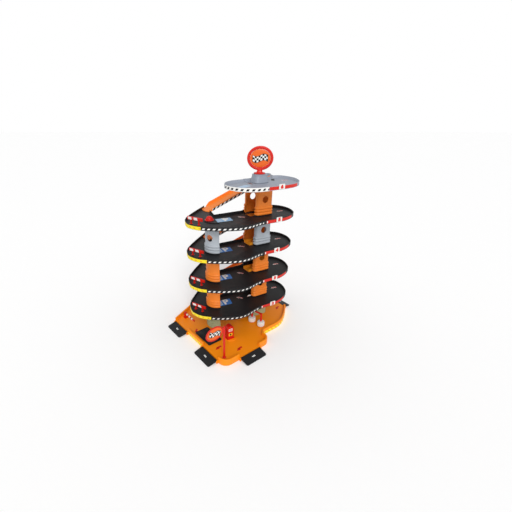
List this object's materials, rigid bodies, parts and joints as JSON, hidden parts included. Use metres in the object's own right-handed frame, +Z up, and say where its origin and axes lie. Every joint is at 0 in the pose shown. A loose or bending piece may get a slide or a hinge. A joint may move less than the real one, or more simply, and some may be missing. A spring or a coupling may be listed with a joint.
{
  "type": "toy parking garage with lift",
  "caption": "Tall toy parking garage: stacked lobed decks round a lift tower and a round column, joined by climbing ramps, on a base tray with exit flaps, a barrier, a pump and signs.",
  "frame": {"origin": "middle of the bounding box's bottom, on the surface that the garage stands on", "axes": "+Z up, +X along the decks from the round column to the lift tower, +Y to the ramps at the rear"},
  "size_m": [0.5292, 0.457, 0.6647],
  "materials": {
    "black_plastic": "satin moulded polystyrene, near black",
    "orange_plastic": "glossy moulded orange",
    "tray_orange_plastic": "glossy moulded warm orange",
    "grey_plastic": "silver grey moulded plastic",
    "olive_plastic": "warm olive grey moulded plastic",
    "red_plastic": "glossy moulded red",
    "white_plastic": "white moulded plastic"
  },
  "bodies": {
    "root": {"base_tray": "tray_orange_plastic", "deck_2": "black_plastic", "deck_3": "black_plastic", "deck_4": "black_plastic", "deck_5": "black_plastic", "top_deck": "grey_plastic", "guard_rail_2": "red_plastic", "guard_rail_3": "red_plastic", "guard_rail_4": "red_plastic", "guard_rail_5": "red_plastic", "level_tag_2": "white_plastic", "level_tag_3": "white_plastic", "level_tag_4": "white_plastic", "level_tag_5": "white_plastic", "level_tag_6": "white_plastic", "tower_front_1": "olive_plastic", "tower_front_2": "orange_plastic", "tower_front_3": "orange_plastic", "tower_front_4": "grey_plastic", "tower_front_5": "orange_plastic", "tower_rear_1": "black_plastic", "tower_rear_2": "black_plastic", "tower_rear_3": "black_plastic", "tower_rear_4": "orange_plastic", "tower_rear_5": "orange_plastic", "ramp_1": "orange_plastic", "ramp_2": "orange_plastic", "ramp_3": "orange_plastic", "ramp_4": "orange_plastic", "ramp_5": "orange_plastic", "column_1": "olive_plastic", "column_2": "orange_plastic", "column_3": "orange_plastic", "column_4": "grey_plastic", "column_cap": "red_plastic", "turret": "grey_plastic", "top_sign": "red_plastic", "top_sign_face": "orange_plastic", "fuel_pump": "red_plastic", "pole_sign": "red_plastic", "pole_sign_face": "orange_plastic", "barrier_post": "red_plastic", "service_plate": "black_plastic", "wash_gantry": "red_plastic"},
    "lift": {"lift_car": "orange_plastic"},
    "flap_left_rear": {"exit_flap_left_rear": "black_plastic"},
    "flap_left_front": {"exit_flap_left_front": "black_plastic"},
    "flap_front": {"exit_flap_front": "black_plastic"},
    "flap_right": {"exit_flap_right": "black_plastic"},
    "barrier": {"barrier_arm": "red_plastic"},
    "roller_near": {"wash_roller_near": "white_plastic"},
    "roller_far": {"wash_roller_far": "white_plastic"}
  },
  "joints": [
    {"name": "lift_slide", "type": "slide", "parent": "root", "child": "lift", "axis": [0, 0, 1], "range_m": [-0.2015, 0.11]},
    {"name": "flap_left_rear_hinge", "type": "hinge", "parent": "root", "child": "flap_left_rear", "pos_m": [-0.22394, 0.07119, 0.0075], "axis": [-0.1564, 0.9877, 0], "range_deg": [0, 100]},
    {"name": "flap_left_front_hinge", "type": "hinge", "parent": "root", "child": "flap_left_front", "pos_m": [-0.19359, -0.12042, 0.0075], "axis": [-0.1564, 0.9877, 0], "range_deg": [0, 100]},
    {"name": "flap_front_hinge", "type": "hinge", "parent": "root", "child": "flap_front", "pos_m": [-0.06416, -0.1878, 0.0075], "axis": [-0.9877, -0.1564, 0], "range_deg": [0, 100]},
    {"name": "flap_right_hinge", "type": "hinge", "parent": "root", "child": "flap_right", "pos_m": [0.22394, 0.0343, 0.0075], "axis": [0.1564, -0.9877, 0], "range_deg": [0, 100]},
    {"name": "barrier_hinge", "type": "hinge", "parent": "root", "child": "barrier", "pos_m": [-0.18413, 0.11901, 0.032], "axis": [-0.9877, -0.1564, 0], "range_deg": [0, 80]},
    {"name": "roller_near_spin", "type": "hinge", "parent": "root", "child": "roller_near", "pos_m": [0.03997, -0.03696, 0.0245], "axis": [0, 0, 1], "continuous": true},
    {"name": "roller_far_spin", "type": "hinge", "parent": "root", "child": "roller_far", "pos_m": [0.05397, -0.07896, 0.0245], "axis": [0, 0, 1], "continuous": true}
  ]
}
